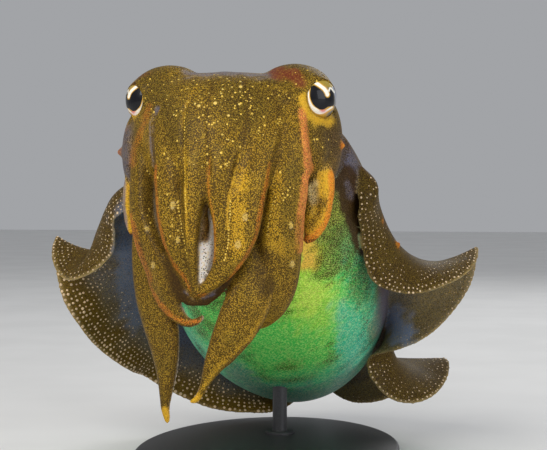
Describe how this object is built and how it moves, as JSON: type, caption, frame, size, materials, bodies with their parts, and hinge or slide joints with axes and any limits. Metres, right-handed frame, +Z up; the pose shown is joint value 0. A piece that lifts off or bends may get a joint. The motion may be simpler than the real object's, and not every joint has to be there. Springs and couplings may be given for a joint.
{
  "type": "common cuttlefish model",
  "caption": "Life-size still model of a common cuttlefish, arms hanging and fins waving, on a low display stand with one rod",
  "frame": {"origin": "middle of the underside of the stand's base, on the floor", "axes": "+Z up, the animal faces -Y, its left side is at +X"},
  "size_m": [0.1726, 0.2051, 0.151],
  "materials": {
    "mantle_skin": "moist skin, green sheen on the belly, dark flanks and dorsal speckle",
    "arm_skin": "moist golden-brown skin with fine dark and gold dots",
    "fin_skin": "moist brown skin with rows of white dots and a pale rim",
    "pale_flesh": "moist pale flesh",
    "eye": "wet gloss, black pupil with a pale iris",
    "stand_metal": "satin black"
  },
  "bodies": {
    "root": {"mantle": "mantle_skin", "head": "arm_skin", "eye_left": "eye", "eye_right": "eye", "arm_1_left_base": "arm_skin", "arm_1_left_tip": "arm_skin", "arm_1_right_base": "arm_skin", "arm_1_right_tip": "arm_skin", "arm_2_left_base": "arm_skin", "arm_2_left_tip": "arm_skin", "arm_2_right_base": "arm_skin", "arm_2_right_tip": "arm_skin", "arm_3_left_base": "arm_skin", "arm_3_left_tip": "arm_skin", "arm_3_right_base": "arm_skin", "arm_3_right_tip": "arm_skin", "arm_4_left_base": "arm_skin", "arm_4_left_tip": "arm_skin", "arm_4_right_base": "arm_skin", "arm_4_right_tip": "arm_skin", "tentacle_left": "pale_flesh", "tentacle_right": "pale_flesh", "buccal_membrane": "pale_flesh", "funnel": "pale_flesh", "cheek_flap_left": "arm_skin", "cheek_flap_right": "arm_skin", "fin_left_front": "fin_skin", "fin_left_middle": "fin_skin", "fin_left_rear": "fin_skin", "fin_right_front": "fin_skin", "fin_right_middle": "fin_skin", "fin_right_rear": "fin_skin", "stand_base": "stand_metal", "stand_rod": "stand_metal"}
  },
  "joints": []
}
